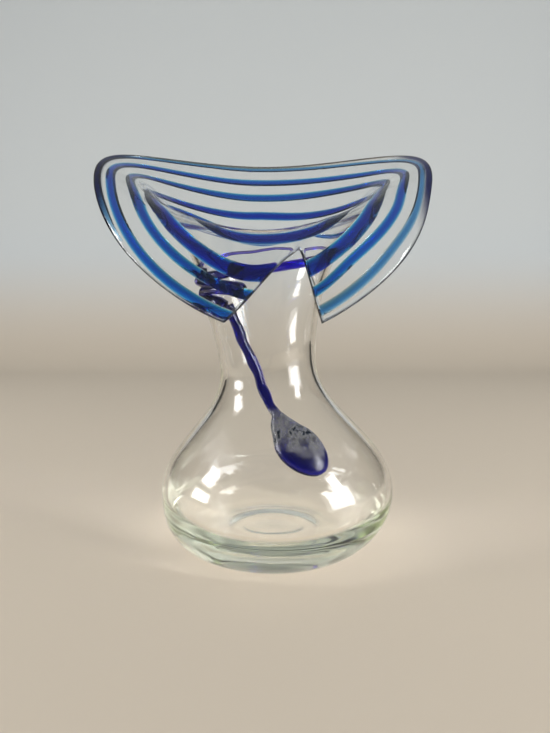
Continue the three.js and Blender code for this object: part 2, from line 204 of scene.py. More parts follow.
# The azimuth at a share of the way round from the notch's right edge to its left one, which part to the rim
def roundFromNotch(share, opened):
    parted = np.clip((opened - bubble["notchFrom"]) / (1 - bubble["notchFrom"]), 0, 1)
    parted = parted ** bubble["notchSpread"]
    right = np.radians(mix(bubble["notchApex"], bubble["rightTip"], parted))
    left = np.radians(mix(bubble["notchApex"], bubble["leftTip"], parted)) + fullTurn
    return mix(right, left, share)


neckLengths = curveLengths([tuple(np.atleast_1d(value) for value in point) for point in neck])
shoulderLengths = curveLengths([tuple(np.atleast_1d(value) for value in point) for point in shoulder])


# A point lifted off the outside of the glass, at a distance above the seam of neck and lip, negative below it
def outsidePoint(azimuth, along, lift):
    azimuth, along, lift = [np.ravel(values) for values in np.broadcast_arrays(azimuth, along, lift)]
    onLip = np.maximum(along, 3 * smallStep)
    points = lipMiddle(azimuth, onLip) + lipOut(azimuth, onLip) * (halfWall + lift)[:, None]
    down = np.maximum(-along, 0)
    for curve, lengths, start in ((neck, neckLengths, 0), (shoulder, shoulderLengths, neckLengths[-1, 0])):
        share = shareAt(lengths, lengths[-1, 0] - np.clip(down - start, 0, lengths[-1, 0]))
        spot = bezier(curve, share)
        ahead = bezier(curve, share + smallShare)
        slope = np.stack([ahead[0] - spot[0], ahead[1] - spot[1]])
        slope = slope / np.hypot(*slope)
        off = onAxis(azimuth, spot[0] + slope[1] * lift, spot[1] - slope[0] * lift)
        points = np.where((down > start)[:, None], off, points)
    return points


# A flat grid moved onto a shape: places holds a point for each row and column, in millimetres.
# The distance of each point from a cut edge can go with it.
def wrapGrid(name, places, fromEdge=None):
    rows, columns = places.shape[:2]
    bpy.ops.object.select_all(action="DESELECT")
    bpy.ops.mesh.primitive_grid_add(x_subdivisions=columns - 1, y_subdivisions=rows - 1, size=1)
    piece = bpy.context.object
    piece.name = name
    piece.data.name = name
    piece.data.vertices.foreach_set("co", (places * millimetre).astype(np.float32).ravel())
    if fromEdge is not None:
        layer = piece.data.attributes.new("fromEdge", "FLOAT", "POINT")
        layer.data.foreach_set("value", fromEdge.astype(np.float32).ravel())
    piece.data.update()
    bpy.ops.object.mode_set(mode="EDIT")
    bpy.ops.mesh.select_all(action="SELECT")
    bpy.ops.mesh.remove_doubles(threshold=weldGap)
    bpy.ops.mesh.select_all(action="DESELECT")
    bpy.ops.mesh.select_mode(type="VERT")
    bpy.ops.mesh.select_non_manifold()
    bpy.ops.mesh.fill_holes(sides=0)
    bpy.ops.mesh.select_all(action="SELECT")
    bpy.ops.mesh.normals_make_consistent(inside=False)
    bpy.ops.object.mode_set(mode="OBJECT")
    bpy.ops.object.shade_smooth_by_angle(angle=math.radians(smoothAngle))
    return piece


# Shares from 0 to 1 with a few crowded at each end, where the cut edges are round
def edgeShares(count, reach, steps):
    near = reach * (1 - np.cos(np.linspace(0, math.pi / 2, steps + 1)))
    return np.concatenate([near[:-1], np.linspace(reach, 1 - reach, count), 1 - near[::-1][1:]])


def sampleCurve(curve, count, skip):
    return np.stack(bezier(curve, np.linspace(0, 1, count + 1)[skip:]), axis=1)


# The inner face of a wall whose outside is the curve
def inwardCurve(curve, count):
    share = np.linspace(0, 1, count + 1)
    spot = np.stack(bezier(curve, share), axis=1)
    slope = unit(np.stack(bezier(curve, share + smallShare), axis=1) - spot)
    return spot + np.stack([-slope[:, 1], slope[:, 0]], axis=1) * bubble["wall"]


# Rings of the outside from the middle of the foot to the neck, and of the inside from the floor to the neck
def turnedRings():
    footInner = bubble["footRadius"] - bubble["footWidth"]
    pontil = [(bubble["pontilRadius"] * row / bubble["pontilRows"], 0)
              for row in range(bubble["pontilRows"])]
    step = np.linspace(0, 1, bubble["hollowRows"] + 1)
    hollow = np.stack([mix(bubble["pontilRadius"], footInner, step),
                       4 * bubble["hollowDepth"] * step * (1 - step)], axis=1)
    outer = np.vstack([pontil, hollow, [(footInner + bubble["footWidth"] / 2, 0)],
                       sampleCurve(heel, bubble["heelRows"], 0),
                       sampleCurve(shoulder, bubble["shoulderRows"], 1),
                       sampleCurve(neck, bubble["neckRows"], 1)[:-1]])
    inner = np.vstack([sampleCurve(floorCurve, bubble["floorRows"], 0),
                       inwardCurve(shoulder, bubble["shoulderRows"])[1:],
                       inwardCurve(neck, bubble["neckRows"])[1:-1]])
    return outer, inner


# A row of points along the leaf, with the way out and the distance of each from the rim or the cut
def leafRow(shares, ofLeaf, fromRim):
    azimuth = roundFromNotch(shares, ofLeaf)
    for settle in range(settlePasses):
        rise, leafLength = lipLengths(azimuth)
        gap = mix(leafLength, halfWall, ofLeaf) if fromRim is None else np.full_like(leafLength, fromRim)
        azimuth = roundFromNotch(shares, 1 - gap / leafLength)
    along = rise + leafLength - gap
    middle = lipMiddle(azimuth, along)
    near = gap
    if (1 - gap / leafLength).max() > bubble["notchFrom"]:
        fromRight = np.linalg.norm(middle - middle[0], axis=1)
        fromLeft = np.linalg.norm(middle - middle[-1], axis=1)
        near = np.minimum(gap, np.minimum(fromRight, fromLeft))
    return middle, lipOut(azimuth, along), near


def makeVessel():
    shares = edgeShares(bubble["columns"], bubble["edgeShare"], bubble["edgeRows"])
    closed = roundFromNotch(shares, 0)
    far = np.full_like(closed, bubble["bulbRadius"])
    outer, inner = turnedRings()
    outside = []
    inside = []
    nears = []
    rise = lipLengths(closed)[0]
    for ofRiser in 1 - (1 - np.linspace(0, 1, bubble["riserRows"] + 1)[1:]) ** bubble["riserCrowd"]:
        middle = lipMiddle(closed, rise * ofRiser)
        out = lipOut(closed, rise * ofRiser)
        outside.append(middle + out * halfWall)
        inside.append(middle - out * halfWall)
        nears.append(far)
    edge = halfWall * (1 - np.cos(np.linspace(0, math.pi / 2, bubble["edgeRows"] + 1)))
    leafSteps = [(row / bubble["leafRows"], None) for row in range(1, bubble["leafRows"] + 1)]
    leafSteps += [(1, distance) for distance in edge[::-1][1:]]
    for ofLeaf, fromRim in leafSteps:
        middle, out, near = leafRow(shares, ofLeaf, fromRim)
        thin = halfWall * np.sqrt(1 - (1 - np.clip(near / halfWall, 0, 1)) ** 2)
        outside.append(middle + out * thin[:, None])
        inside.append(middle - out * thin[:, None])
        nears.append(near)
    rows = [onAxis(closed, radius, height) for radius, height in outer]
    rows += outside + inside[::-1][1:]
    rows += [onAxis(closed, radius, height) for radius, height in inner[::-1]]
    fromEdge = [far] * len(outer) + nears + nears[::-1][1:] + [far] * len(inner)
    return wrapGrid("vessel", np.stack(rows), np.stack(fromEdge))


vessel = makeVessel()
vessel.visible_shadow = False  # clear glass hardly darkens the floor
print("vessel", len(vessel.data.polygons))


# The section of a trail, over its top and back along the glass: shares of its width and of its height
def trailSection(points, softness):
    turn = np.linspace(0, math.pi, points)
    under = np.linspace(0.5, -0.5, 5)[1:]
    return (np.concatenate([-np.cos(turn) / 2, under]),
            np.concatenate([np.sin(turn) ** softness, np.zeros_like(under)]))


# The cobalt thread, wound on the lip's outside from the neck to the rim and cut with it
thread = {
    "start": (4.2, 3.4, 2.4), "pitch": 11.6, "stepFrom": 190, "stepTo": 290, "turns": 4, "lead": 1,
    "width": 5.3, "height": 0.6, "sunk": 0.08, "softness": 2.4, "points": 11, "stations": 300,
    "endAngle": 311, "endShare": 0.06, "endSize": 0.3, "rimMargin": 2, "rimShare": 0.2, "rimSize": 0.75,
    "crossing": 6.2, "crossingBlend": 1.5, "crossingSize": 1.3, "cutBack": 0.003,
    "foldSize": 1.5, "ridgeSize": 1.55, "leadSize": 0.7, "leadDrop": 4.2, "leadTilt": 2,
    "leadSpan": (-0.3, -0.05), "leadStart": 0.4, "leadShare": 0.2,
    # How far each turn strays from an even winding: azimuths of its start, peak and end, and distance
    "strays": (((20, 50, 90, 3.6), (0, 20, 45, 1.5), (60, 95, 150, 2.4), (100, 132, 178, 2.0)),
               ((0, 20, 36, -1.0), (20, 38, 70, 2.2), (95, 135, 180, 2.9), (180, 225, 265, 1.7),
                (225, 278, 330, 4.6)),
               ((0, 20, 90, -1.4), (95, 135, 180, 3.0), (180, 225, 265, 3.0), (235, 280, 330, 4.2)),
               ((95, 135, 180, 8.2), (180, 232, 295, 8.4), (270, 345, 380, -2.2))),
}
threadAcross, threadLift = trailSection(thread["points"], thread["softness"])


def threadFromRim(turn, azimuth):
    whole = np.floor(azimuth / fullTurn)
    angle = np.degrees(azimuth - whole * fullTurn)
    stepped = whole + smoothStep(angle, thread["stepFrom"], thread["stepTo"])
    wound = around(thread["start"], azimuth) + thread["pitch"] * (turn - stepped)
    wound = np.maximum(wound, thread["rimMargin"])
    for start, largest, end, distance in thread["strays"][turn]:
        wound = wound + distance * swell(np.degrees(azimuth), start, largest, end)
    if turn < thread["turns"] - 1:
        return wound
    # The last strip crosses the front just past the crown, and its lead runs lower round the neck
    crossed = lipLengths(azimuth)[1] - thread["crossing"]
    lifted = (wound + crossed) / 2 + np.hypot((wound - crossed) / 2, thread["crossingBlend"])
    behind = (1 - np.cos(azimuth)) / 2
    led = lifted + behind * (thread["leadDrop"] - thread["leadTilt"] * np.sin(azimuth))
    return np.where(azimuth > math.pi, wound, np.where(azimuth < 0, led, lifted))


def threadSpot(turn, share, shift):
    azimuth = roundFromNotch(share, 1)
    for settle in range(settlePasses):
        fromRim = threadFromRim(turn, azimuth) - shift
        rise, leafLength = lipLengths(azimuth)
        azimuth = roundFromNotch(share, 1 - fromRim / leafLength)
    return azimuth, rise + leafLength - fromRim


# Shares of the thread's width along a turn: thin at the rim, broad where it was pressed on the fold
def threadSize(turn, share):
    azimuth = roundFromNotch(share, 1)
    inFront = (1 + np.cos(azimuth)) / 2
    onRight = azimuth < math.pi
    if turn == 0:  # nearest the rim, and runs out at the left ear
        ending = smoothStep(share, share[-1] - thread["endShare"], share[-1])
        thinned = mix(1, thread["rimSize"], smoothStep(share, 0, thread["rimShare"]))
        return thinned * mix(1, thread["endSize"], ending)
    if turn == 2:  # along the ridge of the right leaf
        return np.where(onRight, mix(1, thread["ridgeSize"], inFront), 1)
    if turn < thread["turns"] - 1:
        return np.ones_like(share)
    led = mix(thread["leadSize"], thread["crossingSize"], smoothStep(share, *thread["leadSpan"]))
    broad = mix(1, np.where(onRight, thread["crossingSize"], thread["foldSize"]), inFront)
    starting = smoothStep(share, share[0], share[0] + thread["leadShare"])
    return np.where(share > 0, broad, led) * mix(thread["leadStart"], 1, starting)


def makeThread(turn, name):
    first = -thread["lead"] if turn == thread["turns"] - 1 else thread["cutBack"]
    last = thread["endAngle"] / 360 if turn == 0 else 1 - thread["cutBack"]
    share = np.linspace(first, last, int(thread["stations"] * (last - first)))
    size = threadSize(turn, share)
    height = (thread["height"] + thread["sunk"]) * size
    rows = []
    for across, lift in zip(threadAcross, threadLift):
        azimuth, along = threadSpot(turn, share, across * thread["width"] * size)
        rows.append(outsidePoint(azimuth, along, lift * height - thread["sunk"]))
    return wrapGrid(name, np.stack(rows))


threadNames = ("threadOne", "threadTwo", "threadThree", "threadFourFive")
threads = [makeThread(turn, name) for turn, name in enumerate(threadNames)]
print("threads", [len(piece.data.polygons) for piece in threads])

# The thicker trails have a fuller, rounder section
trail = {"points": 17, "softness": 0.7, "sunk": 0.25}
trailAcross, trailLift = trailSection(trail["points"], trail["softness"])


# A trail along a path of azimuths and distances on the outside of the glass
def makeTrail(name, azimuth, along, width, thickness):
    place = outsidePoint(azimuth, along, 0)
    run = unit(np.gradient(place, axis=0))
    turn = (outsidePoint(azimuth + smallTurn, along, 0) - place) / smallTurn
    up = (outsidePoint(azimuth, along + smallStep, 0) - place) / smallStep
    side = np.cross(unit(np.cross(turn, up)), run)
    # The sideways direction as an azimuth and a distance for each millimetre
    skew = (turn * up).sum(axis=1)
    turnSize = (turn * turn).sum(axis=1)
    upSize = (up * up).sum(axis=1)
    area = turnSize * upSize - skew * skew
    sideTurn = (side * turn).sum(axis=1)
    sideUp = (side * up).sum(axis=1)
    perTurn = (sideTurn * upSize - sideUp * skew) / area
    perUp = (sideUp * turnSize - sideTurn * skew) / area
    rows = []
    for across, lift in zip(trailAcross, trailLift):
        shift = across * width
        height = lift * (thickness + trail["sunk"]) - trail["sunk"]
        rows.append(outsidePoint(azimuth + shift * perTurn, along + shift * perUp, height))
    return wrapGrid(name, np.stack(rows))


# The band round the neck, thin behind, with a gap between its ends at the top of the knot
band = {"width": 4.4, "height": 2.2, "rise": 26.6, "pitch": 8.5, "tilt": 4.3, "gapAzimuth": -40, "halfGap": 6,
        "backSize": 0.45, "backFrom": -0.5, "backTo": 0.5, "waver": 0.5, "wavers": 9, "stations": 200}


def makeBand():
    half = band["halfGap"] / bubble["seamRadius"]
    azimuth = math.radians(band["gapAzimuth"]) + np.linspace(half, fullTurn - half, band["stations"])
    behind = smoothStep(-np.cos(azimuth), band["backFrom"], band["backTo"])
    size = mix(1, band["backSize"], behind)
    along = band["rise"] + band["tilt"] * np.sin(azimuth) - band["pitch"] * np.cos(azimuth)
    along = along + band["waver"] * behind * np.sin(band["wavers"] * azimuth)
    return makeTrail("neckBand", azimuth, along, band["width"] * size, band["height"] * size)


# The knot is one ribbon laid to and fro across the neck and drawn off at the foot into the tie
knot = {
    "ribbon": 4.8, "thickness": 4.4, "stations": 220,
    "startSize": 0.4, "startShare": 0.1, "endSize": 0.75, "endShare": 0.06,
    # Where the ribbon goes: azimuth and distance above the seam
    "path": ((-14, 16.6), (-30, 16.4), (-48, 15.8), (-64, 14.4), (-54, 12.6), (-34, 11.2), (-18, 9.8),
             (-20, 8.2), (-38, 9.2), (-56, 9.6), (-61, 7), (-53, 4.6), (-42, 3.2), (-33, 1.5)),
}


# A smooth way through a list of places
def throughPlaces(places, count):
    places = np.array(places, dtype=float)
    spots = np.linspace(0, len(places) - 1, count)
    index = np.minimum(spots.astype(int), len(places) - 2)
    share = (spots - index)[:, None]
    slopes = np.gradient(places, axis=0)
    rest = 1 - share
    return (places[index] * (1 + 2 * share) * rest ** 2 + slopes[index] * share * rest ** 2
            + places[index + 1] * (3 - 2 * share) * share ** 2 - slopes[index + 1] * rest * share ** 2)


def makeKnot():
    azimuth, along = throughPlaces(knot["path"], knot["stations"]).T
    share = np.linspace(0, 1, knot["stations"])
    size = mix(knot["startSize"], 1, smoothStep(share, 0, knot["startShare"]))
    size = size * mix(knot["endSize"], 1, smoothStep(1 - share, 0, knot["endShare"]))
    return makeTrail("tieKnot", np.radians(azimuth), along, knot["ribbon"] * size, knot["thickness"] * size)


# The strand runs down the neck from the knot and ends in a flat blade on the shoulder
tie = {
    "azimuths": (-31.5, -10, 24), "distances": (1.5, -40, -84.5), "stations": 200,
    "strandWidth": 4.8, "strandThickness": 3.4, "bladeLength": 46, "bladeWidth": 22, "bladeRound": 15,
    "bladeThickness": 4.6, "bluntShare": 0.05, "tipLength": 6, "tipSize": 0.2,
    # Waves of the strand's path, and one of its width: size, count in the waver's length and start
    "waver": 0.3, "waverLength": 27, "waverFrom": 8, "waves": ((1, 1, 0), (0.6, 2.3, 1)),
    "pinch": (0.1, 1.7, 2),
}


def makeTie():
    share = np.linspace(0, 1, tie["stations"])
    weights = ((1 - share) ** 2, 2 * share * (1 - share), share ** 2)
    azimuth = np.radians(sum(weight * value for weight, value in zip(weights, tie["azimuths"])))
    along = sum(weight * value for weight, value in zip(weights, tie["distances"]))
    place = outsidePoint(azimuth, along, 0)
    lengths = np.concatenate([[0], np.cumsum(np.linalg.norm(np.diff(place, axis=0), axis=1))])
    fromTip = lengths[-1] - lengths
    taper = smoothStep(fromTip, tie["bladeRound"], tie["bladeLength"])
    past = np.maximum(tie["bladeRound"] - fromTip, 0) / tie["bladeRound"]
    blade = (1 - taper) * np.sqrt(np.maximum(1 - past ** 2, tie["bluntShare"] ** 2))
    tip = np.minimum(1, fromTip / tie["tipLength"] + tie["tipSize"])
    width = np.maximum(tie["strandWidth"] * tip, tie["bladeWidth"] * blade)
    thickness = np.maximum(tie["strandThickness"] * tip, tie["bladeThickness"] * blade)
    onStrand = taper * smoothStep(lengths, 0, tie["waverFrom"])
    phase = lengths * fullTurn / tie["waverLength"]
    wave = sum(size * np.sin(phase * often + start) for size, often, start in tie["waves"])
    azimuth = azimuth + onStrand * tie["waver"] * wave / bubble["neckRadius"]
    size, often, start = tie["pinch"]
    width = width * (1 + size * onStrand * np.sin(phase * often + start))
    return makeTrail("tieBlade", azimuth, along, width, thickness)


neckBand = makeBand()
tieKnot = makeKnot()
tieBlade = makeTie()
print("band, knot and tie", [len(piece.data.polygons) for piece in (neckBand, tieKnot, tieBlade)])


def linear(hexColour):
    values = [int(hexColour[index:index + 2], 16) / 255 for index in (1, 3, 5)]
    return tuple(v / 12.92 if v <= 0.04045 else ((v + 0.055) / 1.055) ** 2.4 for v in values) + (1,)


# Adds a node with its settings. An input is a value, or another node's output to link.
def addNode(tree, kind, inputs=None, **settings):
    node = tree.nodes.new(kind)
    for name, value in settings.items():
        setattr(node, name, value)
    for name, value in (inputs or {}).items():
        if isinstance(value, bpy.types.NodeSocket):
            tree.links.new(value, node.inputs[name])
        else:
            node.inputs[name].default_value = value
    return node


def startMaterial(name):
    material = bpy.data.materials.new(name)
    material.use_nodes = True
    material.node_tree.nodes.clear()
    return material, material.node_tree


# Glass takes its colour from the depth that light goes through: lost is the red, green and blue lost in each
# millimetre. It has soft waves from the blowing, and a painted shade darkens its colour where it is seen at a
# slant, for the dark edges that refraction of dark surroundings gives.
def makeGlass(name, lost, roughness, waveSize, waveHeight, slantShadeHex, slantShadeFrom):
    material, tree = startMaterial(name)
    place = addNode(tree, "ShaderNodeTexCoord")
    wave = addNode(tree, "ShaderNodeTexNoise", {
        "Vector": place.outputs["Object"], "Scale": 1 / (waveSize * millimetre), "Detail": 1})
    bump = addNode(tree, "ShaderNodeBump", {
        "Height": wave.outputs["Fac"], "Strength": 1, "Distance": waveHeight * millimetre})
    # Painted shade: the glass's colour darkens towards its edges, where it is seen at a slant
    slant = addNode(tree, "ShaderNodeLayerWeight", {"Blend": 0.5})
    ramp = addNode(tree, "ShaderNodeMapRange", {
        "Value": slant.outputs["Facing"], "From Min": slantShadeFrom, "From Max": 1.0},
        interpolation_type="SMOOTHSTEP")
    tint = addNode(tree, "ShaderNodeMix", {
        0: ramp.outputs["Result"], 6: linear("#ffffff"), 7: linear(slantShadeHex)}, data_type="RGBA")
    surface = addNode(tree, "ShaderNodeBsdfPrincipled", {
        "Base Color": tint.outputs[2], "Normal": bump.outputs["Normal"], "Roughness": roughness, "IOR": 1.5,
        "Transmission Weight": 1})
    depth = addNode(tree, "ShaderNodeVolumeAbsorption", {
        "Color": tuple(1 - loss / max(lost) for loss in lost) + (1,), "Density": max(lost) / millimetre})
    addNode(tree, "ShaderNodeOutputMaterial", {
        "Surface": surface.outputs["BSDF"], "Volume": depth.outputs["Volume"]})
    return material, tree, surface


# Blown soda-lime glass, clear with a breath of green where it is thick
clear = {"lost": (0.00096, 0.00051, 0.0021), "roughness": 0.0, "waveSize": 17, "waveHeight": 0.11,
         "slantShadeHex": "#54585a", "slantShadeFrom": 0.88}
# The cut and the rim were melted round. The dark lines along them are painted shade, for the dark
# surroundings that their round edges refract. At the two ears a painted shade darkens the rim nearly to black
# navy, for the thread seen edge-on against dark surroundings there. Standing has worn the foot matt, which
# lets light out of the base.
# Distances are in millimetres.
edges = {"edgeShadeHex": "#4a5056", "edgeShadeFrom": 0.5, "edgeShadeTo": 1.6, "earShadeHex": "#161e60", "earFrom": 73,
         "earTo": 85, "earShadeRimFrom": 3.0, "earShadeRimTo": 5.4, "wornFrom": 0.1, "wornTo": 1.2, "wornRoughness": 0.2}


def makeClearGlass():
    material, tree, surface = makeGlass("blownClearGlass", **clear)
    slantShadeColour = surface.inputs["Base Color"].links[0].from_socket
    place = addNode(tree, "ShaderNodeTexCoord")
    split = addNode(tree, "ShaderNodeSeparateXYZ", {"Vector": place.outputs["Object"]})
    fromEdge = addNode(tree, "ShaderNodeAttribute", attribute_name="fromEdge")
    # Painted shade: dark lines along the rim and the cut
    line = addNode(tree, "ShaderNodeMapRange", {
        "Value": fromEdge.outputs["Fac"], "From Min": edges["edgeShadeFrom"], "From Max": edges["edgeShadeTo"],
        "To Min": 1.0, "To Max": 0.0})
    edgeShadeTint = addNode(tree, "ShaderNodeMix", {
        0: line.outputs["Result"], 6: slantShadeColour, 7: linear(edges["edgeShadeHex"])}, data_type="RGBA")
    # Painted shade: near the rim at the two ears the glass's colour turns nearly black navy
    side = addNode(tree, "ShaderNodeMath", {
        0: split.outputs["X"], 1: -bubble["leanShift"] * millimetre}, operation="ADD")
    aside = addNode(tree, "ShaderNodeMath", {0: side.outputs[0]}, operation="ABSOLUTE")
    ear = addNode(tree, "ShaderNodeMapRange", {
        "Value": aside.outputs[0], "From Min": edges["earFrom"] * millimetre,
        "From Max": edges["earTo"] * millimetre}, interpolation_type="SMOOTHSTEP")
    earShadeRim = addNode(tree, "ShaderNodeMapRange", {
        "Value": fromEdge.outputs["Fac"], "From Min": edges["earShadeRimFrom"], "From Max": edges["earShadeRimTo"],
        "To Min": 1.0, "To Max": 0.0}, interpolation_type="SMOOTHSTEP")
    earShadeMask = addNode(tree, "ShaderNodeMath", {
        0: ear.outputs["Result"], 1: earShadeRim.outputs["Result"]}, operation="MULTIPLY")
    earShadeTint = addNode(tree, "ShaderNodeMix", {
        0: earShadeMask.outputs[0], 6: edgeShadeTint.outputs[2], 7: linear(edges["earShadeHex"])}, data_type="RGBA")
    wornAndSheenPatches = addNode(tree, "ShaderNodeMapRange", {
        "Value": split.outputs["Z"], "From Min": edges["wornFrom"] * millimetre,
        "From Max": edges["wornTo"] * millimetre, "To Min": edges["wornRoughness"], "To Max": 0.0})
    tree.links.new(earShadeTint.outputs[2], surface.inputs["Base Color"])
    tree.links.new(wornAndSheenPatches.outputs["Result"], surface.inputs["Roughness"])
    return material


# Cobalt glass wound on as a thread from a cooling gather, so it is palest at the rim and deepest at the fold
# Its slant shade is painted deep navy, for the thread seen edge-on
threadGlass = {"roughness": 0.0, "waveSize": 5, "waveHeight": 0.03, "slantShadeHex": "#1c2856", "slantShadeFrom": 0.5}
threadLost = {"One": (4.6, 2.1, 0.8), "Two": (11, 3.4, 0.8), "Three": (14, 3.7, 1.0),
              "FourFive": (16, 5.4, 1.2)}
# The thicker trails are a violet cobalt, softly glossy on the band and a little deeper in the folded knot
trailed = {"lost": (1.7, 2.03, 0.235), "roughness": 0.08, "waveSize": 5, "waveHeight": 0.08,
           "slantShadeHex": "#606070", "slantShadeFrom": 0.8}
folded = {"lost": (2.3, 2.6, 0.27), "roughness": 0.05, "waveSize": 5, "waveHeight": 0.08,
          "slantShadeHex": "#505068", "slantShadeFrom": 0.75}
# The same glass pressed flat with a tool, which leaves the upper half of the blade matt and streaked. Its
# grey there is a painted sheen, for the bright surroundings that the rough surface reflects, and the glass is
# made less clear under it. The streaks are drawn coarser than real ones, so that they show. Heights and sizes
# are in millimetres.
bladeMattSheen = {"deeper": 1.8, "roughness": 0.1, "gloss": 0.12, "hex": "#1c2630", "low": (60, 69), "high": (81, 74),
          "streak": 1.6, "drawn": (1, 0.6, 0.35), "patch": 7, "ragged": 14, "through": 0.35, "smooth": 0.08,
          "matt": 0.26}


def makeBladeSheenGlass():
    pressedFrom = dict(trailed, roughness=bladeMattSheen["roughness"])
    pressedFrom["lost"] = [bladeMattSheen["deeper"] * loss for loss in trailed["lost"]]
    material, tree, surface = makeGlass("bladeSheenCobaltGlass", **pressedFrom)
    surface.inputs["Specular IOR Level"].default_value = bladeMattSheen["gloss"]
    slantShadeColour = surface.inputs["Base Color"].links[0].from_socket
    place = addNode(tree, "ShaderNodeTexCoord").outputs["Object"]
    split = addNode(tree, "ShaderNodeSeparateXYZ", {"Vector": place})
    drawn = addNode(tree, "ShaderNodeMapping", {"Vector": place, "Scale": bladeMattSheen["drawn"]})
    streak = addNode(tree, "ShaderNodeTexNoise", {
        "Vector": drawn.outputs["Vector"], "Scale": 1 / (bladeMattSheen["streak"] * millimetre), "Detail": 3,
        "Roughness": 0.6})
    patch = addNode(tree, "ShaderNodeTexNoise", {
        "Vector": place, "Scale": 1 / (bladeMattSheen["patch"] * millimetre), "Detail": 3})
    ragged = addNode(tree, "ShaderNodeMath", {
        0: patch.outputs["Fac"], 1: bladeMattSheen["ragged"] * millimetre, 2: -bladeMattSheen["ragged"] / 2 * millimetre},
        operation="MULTIPLY_ADD")
    level = addNode(tree, "ShaderNodeMath", {0: split.outputs["Z"], 1: ragged.outputs[0]}, operation="ADD")
    low = addNode(tree, "ShaderNodeMapRange", {
        "Value": level.outputs[0], "From Min": bladeMattSheen["low"][0] * millimetre,
        "From Max": bladeMattSheen["low"][1] * millimetre}, interpolation_type="SMOOTHSTEP")
    high = addNode(tree, "ShaderNodeMapRange", {
        "Value": split.outputs["Z"], "From Min": bladeMattSheen["high"][0] * millimetre,
        "From Max": bladeMattSheen["high"][1] * millimetre}, interpolation_type="SMOOTHSTEP")
    grain = addNode(tree, "ShaderNodeMapRange", {
        "Value": streak.outputs["Fac"], "From Min": 0.42, "From Max": 0.58, "To Min": 0.5, "To Max": 1.0})
    wornAndSheenPatches = addNode(tree, "ShaderNodeMapRange", {
        "Value": patch.outputs["Fac"], "From Min": 0.4, "From Max": 0.48, "To Min": 0.35, "To Max": 1.0})
    # Painted sheen: over the upper blade the colour turns grey and the glass less clear, in streaks and
    # patches
    paintedSheen = low.outputs["Result"]
    for share in (high, grain, wornAndSheenPatches):
        product = addNode(tree, "ShaderNodeMath", {
            0: paintedSheen, 1: share.outputs["Result"]}, operation="MULTIPLY")
        paintedSheen = product.outputs[0]
    tint = addNode(tree, "ShaderNodeMix", {
        0: paintedSheen, 6: slantShadeColour, 7: linear(bladeMattSheen["hex"])}, data_type="RGBA")
    through = addNode(tree, "ShaderNodeMapRange", {
        "Value": paintedSheen, "To Min": 1.0, "To Max": bladeMattSheen["through"]})
    rough = addNode(tree, "ShaderNodeMapRange", {
        "Value": high.outputs["Result"], "To Min": bladeMattSheen["smooth"], "To Max": bladeMattSheen["matt"]})
    tree.links.new(tint.outputs[2], surface.inputs["Base Color"])
    tree.links.new(through.outputs["Result"], surface.inputs["Transmission Weight"])
    tree.links.new(rough.outputs["Result"], surface.inputs["Roughness"])
    return material


threadNodes = ("thread_turn_1", "thread_turn_2", "thread_turn_3", "thread_turns_4_5")
woundGlasses = [makeGlass("woundCobaltGlass" + name, lost, **threadGlass)[0]
                for name, lost in threadLost.items()]
finishes = [(vessel, ("body", "collar"), "clear_glass", makeClearGlass())]
for piece, node, glass in zip(threads, threadNodes, woundGlasses):
    finishes.append((piece, (node,), "cobalt_glass", glass))
finishes += [
    (neckBand, ("neck_band",), "cobalt_glass", makeGlass("trailedCobaltGlass", **trailed)[0]),
    (tieKnot, ("tie_knot",), "cobalt_glass", makeGlass("foldedCobaltGlass", **folded)[0]),
    (tieBlade, ("tie_blade",), "cobalt_glass", makeBladeSheenGlass()),
]
for piece, nodes, slot, material in finishes:
    piece.data.materials.append(material)
    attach(piece, "root")
    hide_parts(*nodes)
print("finishes", [material.name for piece, nodes, slot, material in finishes])

# A plain sweep in matt paint, pale grey behind and pale beige underfoot, in metres
stage = {"floorHex": "#d6c9b6", "wallHex": "#bdc2c3", "wallFrom": 0.3, "wallBack": 1.2, "half": 3,
         "wallHalf": 0.8, "cove": 0.4, "coveSteps": 24, "below": -0.0003, "floorBelow": 0.001, "glow": 0.25,
         "near": 0.01}


def makeSweepPaint():
    material, tree = startMaterial("mattSweepPaint")
    place = addNode(tree, "ShaderNodeTexCoord")
    split = addNode(tree, "ShaderNodeSeparateXYZ", {"Vector": place.outputs["Object"]})
    ramp = addNode(tree, "ShaderNodeMapRange", {
        "Value": split.outputs["Z"], "From Min": 0.0, "From Max": stage["wallFrom"]},
        interpolation_type="SMOOTHSTEP")
    wall = ramp.outputs["Result"]
    blend = addNode(tree, "ShaderNodeMix", {
        0: wall, 6: linear(stage["floorHex"]), 7: linear(stage["wallHex"])}, data_type="RGBA")
    glow = addNode(tree, "ShaderNodeMath", {0: wall, 1: stage["glow"]}, operation="MULTIPLY")
    surface = addNode(tree, "ShaderNodeBsdfPrincipled", {
        "Base Color": blend.outputs[2], "Roughness": 0.8, "Emission Color": blend.outputs[2],
        "Emission Strength": glow.outputs[0]})
    addNode(tree, "ShaderNodeOutputMaterial", {"Surface": surface.outputs["BSDF"]})
    return material


# Selects the edges whose two ends are far back, and low if asked
def selectBackEdges(piece, low):
    bpy.ops.object.mode_set(mode="EDIT")
    bpy.ops.mesh.select_mode(type="EDGE")
    bpy.ops.mesh.select_all(action="DESELECT")
    bpy.ops.object.mode_set(mode="OBJECT")
    for edge in piece.data.edges:
        ends = [piece.data.vertices[index].co for index in edge.vertices]
        back = all(end.y > stage["wallBack"] - stage["near"] for end in ends)
        edge.select = back and (not low or all(end.z < stage["near"] for end in ends))
    bpy.ops.object.mode_set(mode="EDIT")


